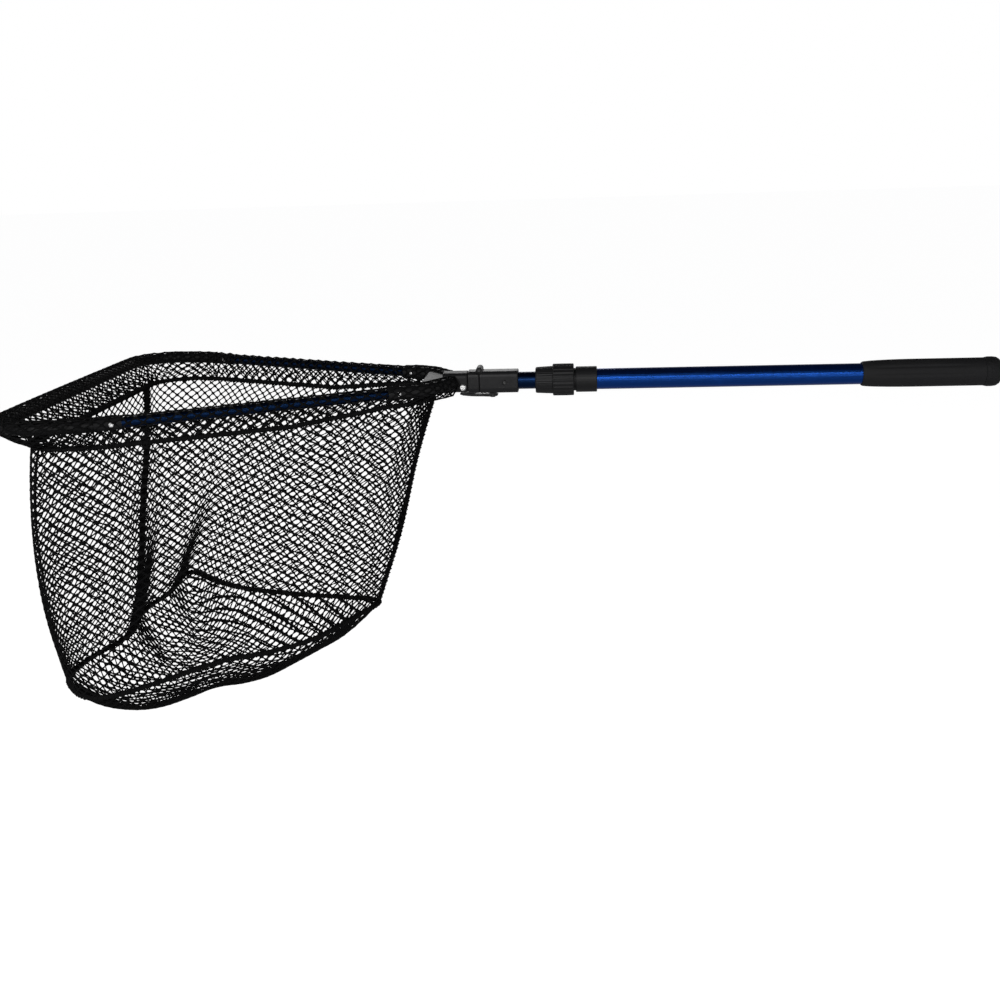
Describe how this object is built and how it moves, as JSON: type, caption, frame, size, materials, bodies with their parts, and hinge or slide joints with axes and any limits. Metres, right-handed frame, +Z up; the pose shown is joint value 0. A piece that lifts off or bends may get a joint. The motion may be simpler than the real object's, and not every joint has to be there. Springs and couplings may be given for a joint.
{
  "type": "landing net",
  "caption": "Folding landing net: telescopic alloy handle with a twist lock and rubber grip, a hinged triangular hoop and a deep netting bag with a flat base.",
  "frame": {"origin": "centre of the flat butt face at the end of the grip cap", "axes": "+X out of the butt along the handle, so the hoop is at -X; +Z up, out of the hoop's mouth, the bag hangs at -Z; Y across the hoop"},
  "size_m": [1.0073, 0.459, 0.3539],
  "materials": {
    "outer_tube_blue": "glossy royal blue anodising",
    "grip_rubber": "matt black moulded rubber",
    "cap_rubber": "matt black moulded rubber",
    "lock_plastic": "black moulded plastic, fine texture",
    "collet_nylon": "natural nylon",
    "nut_plastic": "black moulded plastic with fine ribs",
    "inner_tube_navy": "dark navy anodising",
    "guide_nylon": "natural nylon",
    "socket_plastic": "black moulded plastic, satin",
    "pin_steel": "bright steel",
    "latch_plastic": "black moulded plastic, satin",
    "block_plastic": "black moulded plastic, satin",
    "screw_steel": "bright plated steel",
    "yoke_plastic": "black moulded plastic, fine texture",
    "arm_navy": "dark navy anodising",
    "bow_black": "black coating, satin",
    "rivet_aluminium": "bright",
    "netting_black": "black knotless nylon netting",
    "cord_black": "black braided nylon cord"
  },
  "bodies": {
    "handle": {"outer_tube": "outer_tube_blue", "grip": "grip_rubber", "grip_end_cap": "cap_rubber", "lock_base": "lock_plastic", "lock_collet": "collet_nylon"},
    "lock_nut": {"lock_nut": "nut_plastic"},
    "extension": {"inner_tube": "inner_tube_navy", "tube_guide": "guide_nylon", "head_socket": "socket_plastic", "socket_rivet": "pin_steel", "hinge_pin": "pin_steel", "latch_pin": "pin_steel", "latch_spring": "pin_steel"},
    "latch": {"latch_lever": "latch_plastic"},
    "head": {"hinge_block": "block_plastic", "yoke_screw": "screw_steel", "yoke_screw_nut": "screw_steel", "yoke": "yoke_plastic", "near_arm": "arm_navy", "far_arm": "arm_navy", "front_bow": "bow_black", "yoke_rivet_near": "rivet_aluminium", "yoke_rivet_far": "rivet_aluminium", "bow_rivet_near": "rivet_aluminium", "bow_rivet_far": "rivet_aluminium", "net_sleeve_near": "netting_black", "net_sleeve_far": "netting_black", "net_sleeve_front": "netting_black", "net_wall_near": "netting_black", "net_wall_front": "netting_black", "net_wall_far": "netting_black", "net_base": "netting_black", "hem_cord": "cord_black", "base_cord": "cord_black", "closing_seam": "cord_black", "yoke_corner_seam": "cord_black"}
  },
  "joints": [
    {"name": "lock_twist", "type": "hinge", "parent": "handle", "child": "lock_nut", "pos_m": [-0.46, 0, 0], "axis": [1, 0, 0], "range_deg": [0, 120]},
    {"name": "handle_extend", "type": "slide", "parent": "handle", "child": "extension", "axis": [-1, 0, 0], "range_m": [0, 0.32]},
    {"name": "latch_press", "type": "hinge", "parent": "extension", "child": "latch", "pos_m": [-0.53, 0, -0.0145], "axis": [0, -1, 0], "range_deg": [0, 8], "stiffness_Nm_per_rad": 0.08},
    {"name": "head_fold", "type": "hinge", "parent": "extension", "child": "head", "pos_m": [-0.5437, 0, 0.0128], "axis": [0, 1, 0], "range_deg": [0, 175]}
  ]
}
